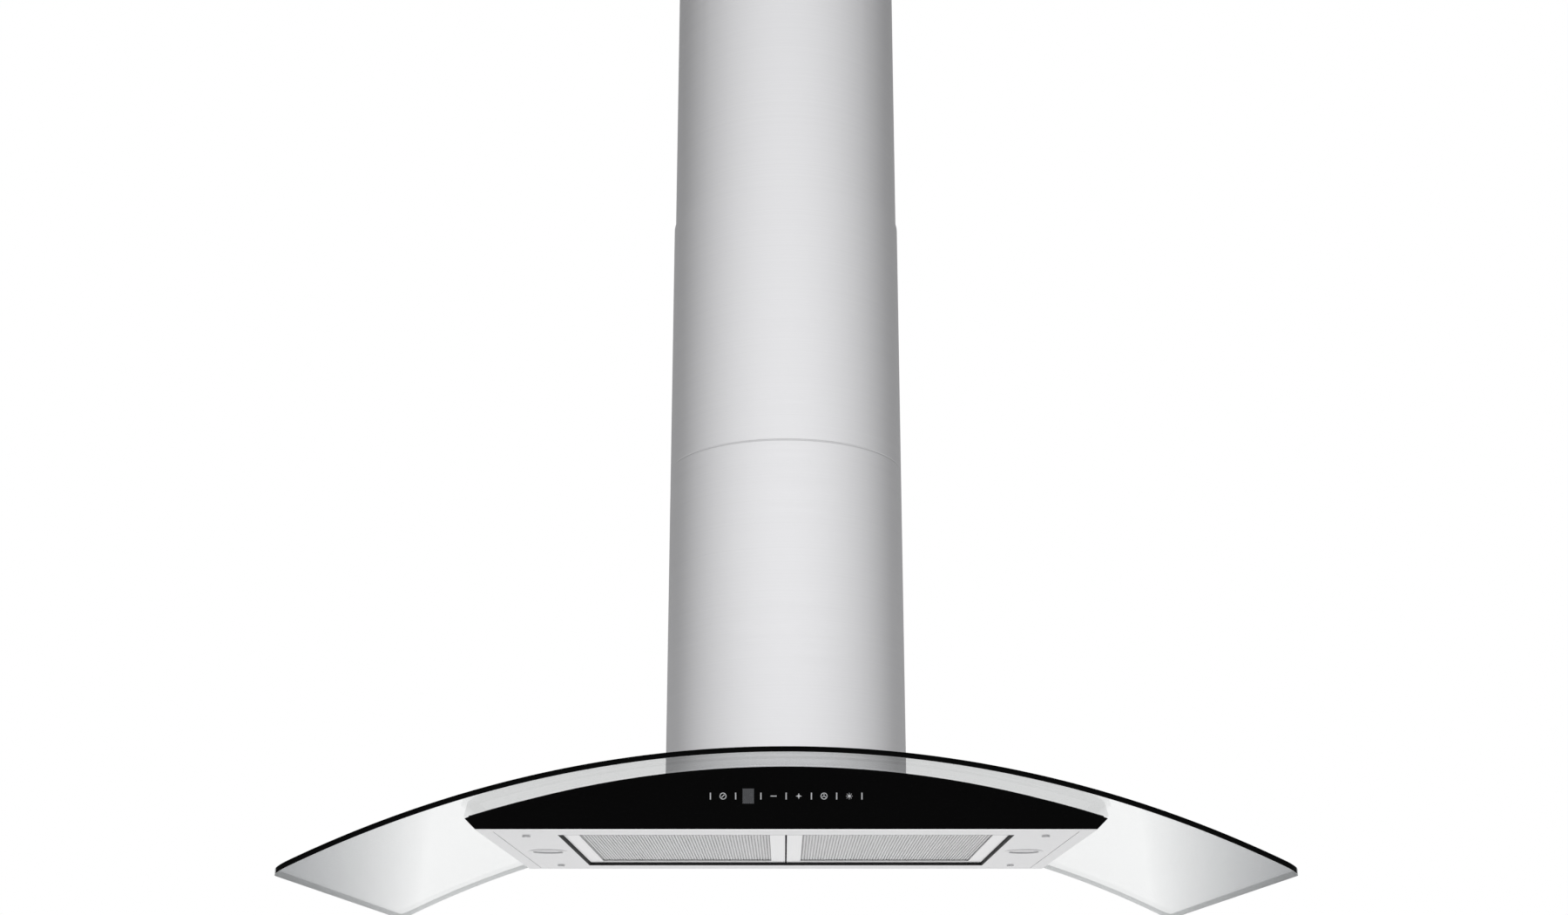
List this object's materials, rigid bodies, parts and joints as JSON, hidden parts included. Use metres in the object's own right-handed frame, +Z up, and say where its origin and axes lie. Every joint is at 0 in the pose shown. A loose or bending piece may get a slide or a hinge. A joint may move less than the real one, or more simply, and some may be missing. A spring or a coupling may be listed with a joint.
{
  "type": "island range hood",
  "caption": "Ceiling-hung island range hood: round telescopic chimney, curved clear glass canopy, slim body with black touch panel, tilting grease filters and lamps.",
  "frame": {"origin": "centre of the ceiling plate's top face, where it meets the ceiling", "axes": "+Z up, -Y towards the touch panel, +X to the right of somebody facing it"},
  "size_m": [0.9, 0.6, 1.0326],
  "materials": {
    "brushed_steel": "brushed stainless sheet",
    "zinc_steel": "zinc-plated folded sheet",
    "screw_steel": "plated fasteners",
    "clear_glass": "clear tempered glass with a dark edge",
    "black_glass": "black back-printed tempered glass",
    "lamp_glass": "frosted lens",
    "black_rubber": "soft black rubber",
    "nylon": "natural nylon",
    "black_plastic": "moulded black plastic",
    "grey_plastic": "moulded grey plastic",
    "white_plastic": "moulded white plastic",
    "cast_ring": "die-cast aluminium",
    "filter_aluminium": "satin aluminium",
    "motor_steel": "zinc-plated motor shell",
    "laminations": "stacked laminations with windings",
    "board": "glass-fibre circuit board",
    "display": "smoked segment display",
    "spring_steel": "bright spring wire"
  },
  "bodies": {
    "hood": {"base_ring": "cast_ring", "blower_housing": "zinc_steel", "board_carrier": "black_plastic", "body_shell": "brushed_steel", "bottom_panel": "brushed_steel", "bracket_screws": "screw_steel", "cable_gland": "black_plastic", "ceiling_plate": "zinc_steel", "chimney_screws": "screw_steel", "clamp_bolts": "screw_steel", "clamp_nuts": "screw_steel", "clamp_ring": "cast_ring", "collar_screws": "screw_steel", "display_module": "display", "front_panel": "black_glass", "glass_bushings": "nylon", "glass_canopy": "clear_glass", "glass_gasket_lower": "black_rubber", "glass_gasket_upper": "black_rubber", "lamp_bezel_left": "brushed_steel", "lamp_bezel_right": "brushed_steel", "lamp_body_left": "cast_ring", "lamp_body_right": "cast_ring", "lamp_driver": "white_plastic", "lamp_lens_left": "lamp_glass", "lamp_lens_right": "lamp_glass", "lower_chimney": "brushed_steel", "lower_rails": "zinc_steel", "motor_bearings": "screw_steel", "motor_bracket": "zinc_steel", "motor_capacitor": "white_plastic", "motor_case": "motor_steel", "motor_end_cap": "motor_steel", "motor_stator": "laminations", "opening_trim": "black_rubber", "outlet_collar": "black_plastic", "panel_screws": "screw_steel", "rail_bolts": "screw_steel", "rear_panel": "black_glass", "scroll_front": "grey_plastic", "scroll_rear": "grey_plastic", "terminal_box": "white_plastic", "touch_board": "board", "touch_springs": "spring_steel", "upper_rails": "zinc_steel"},
    "cover": {"upper_chimney": "brushed_steel"},
    "fan": {"impeller": "grey_plastic", "motor_shaft": "screw_steel", "motor_rotor": "laminations"},
    "flap_left": {"damper_flap_left": "black_plastic"},
    "flap_right": {"damper_flap_right": "black_plastic"},
    "filter_left": {"filter_frame_left": "filter_aluminium", "filter_mesh_left": "filter_aluminium"},
    "filter_right": {"filter_frame_right": "filter_aluminium", "filter_mesh_right": "filter_aluminium"},
    "latch_left": {"filter_latch_left": "brushed_steel", "latch_springs_left": "spring_steel"},
    "latch_right": {"filter_latch_right": "brushed_steel", "latch_springs_right": "spring_steel"}
  },
  "joints": [
    {"name": "cover_slide", "type": "slide", "parent": "hood", "child": "cover", "axis": [0, 0, -1], "range_m": [0, 0.28]},
    {"name": "fan_spin", "type": "hinge", "parent": "hood", "child": "fan", "pos_m": [-0.018, 0, -0.795], "axis": [0, 1, 0], "continuous": true},
    {"name": "flap_left_swing", "type": "hinge", "parent": "hood", "child": "flap_left", "pos_m": [-0.004, 0, -0.625], "axis": [0, 1, 0], "range_deg": [0, 75]},
    {"name": "flap_right_swing", "type": "hinge", "parent": "hood", "child": "flap_right", "pos_m": [0.004, 0, -0.625], "axis": [0, -1, 0], "range_deg": [0, 75]},
    {"name": "filter_left_tip", "type": "hinge", "parent": "hood", "child": "filter_left", "pos_m": [-0.1081, 0.1565, -0.983], "axis": [1, 0, 0], "range_deg": [0, 60]},
    {"name": "latch_left_pull", "type": "slide", "parent": "filter_left", "child": "latch_left", "axis": [0, 1, 0], "range_m": [0, 0.006], "stiffness_N_per_m": 400, "springref_m": -0.004, "deforming": ["latch_springs_left"]},
    {"name": "filter_right_tip", "type": "hinge", "parent": "hood", "child": "filter_right", "pos_m": [0.1081, 0.1565, -0.983], "axis": [1, 0, 0], "range_deg": [0, 60]},
    {"name": "latch_right_pull", "type": "slide", "parent": "filter_right", "child": "latch_right", "axis": [0, 1, 0], "range_m": [0, 0.006], "stiffness_N_per_m": 400, "springref_m": -0.004, "deforming": ["latch_springs_right"]}
  ]
}
